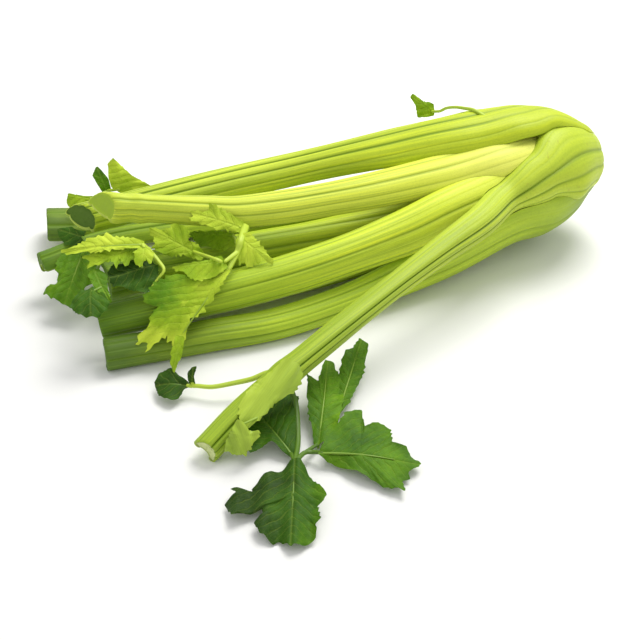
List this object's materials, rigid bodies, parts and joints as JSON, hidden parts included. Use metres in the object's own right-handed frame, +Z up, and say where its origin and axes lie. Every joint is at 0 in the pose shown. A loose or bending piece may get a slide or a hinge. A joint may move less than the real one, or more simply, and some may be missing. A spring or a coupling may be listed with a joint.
{
  "type": "head of celery",
  "caption": "Head of celery lying on its side: ribbed crescent stalks fan out from a cut butt, one fallen across the others, with sprays of toothed leaves.",
  "frame": {"origin": "under the middle of the head's footprint, on the surface it lies on", "axes": "+X along the head from the stalks' tips to the cut butt, +Z up, +Y across the head, away from the stalk that has fallen across"},
  "size_m": [0.3688, 0.3432, 0.09],
  "materials": {
    "stalk": "satin, waxy green skin with darker grooves between the ribs",
    "heart": "satin, pale yellow-green skin",
    "butt": "matt cream cut face",
    "leaf_dark": "matt dark green leaf with paler veins",
    "leaf_young": "matt yellow-green leaf with paler veins"
  },
  "bodies": {
    "root": {"butt": "butt", "stalk_across": "stalk", "stalk_top_back": "stalk", "stalk_bottom_front": "stalk", "stalk_bottom": "stalk", "stalk_bottom_back": "stalk", "stalk_inner_top": "heart", "stalk_inner_front": "heart", "stalk_inner_middle": "heart", "stalk_inner_back": "heart", "leaf_front": "leaf_dark", "leaf_collar": "leaf_young", "shoot_front": "leaf_dark", "sprig_middle": "leaf_young", "leaves_left": "leaf_dark", "leaves_heart": "leaf_young", "leaves_back": "leaf_young", "leaf_far": "leaf_young"}
  },
  "joints": []
}
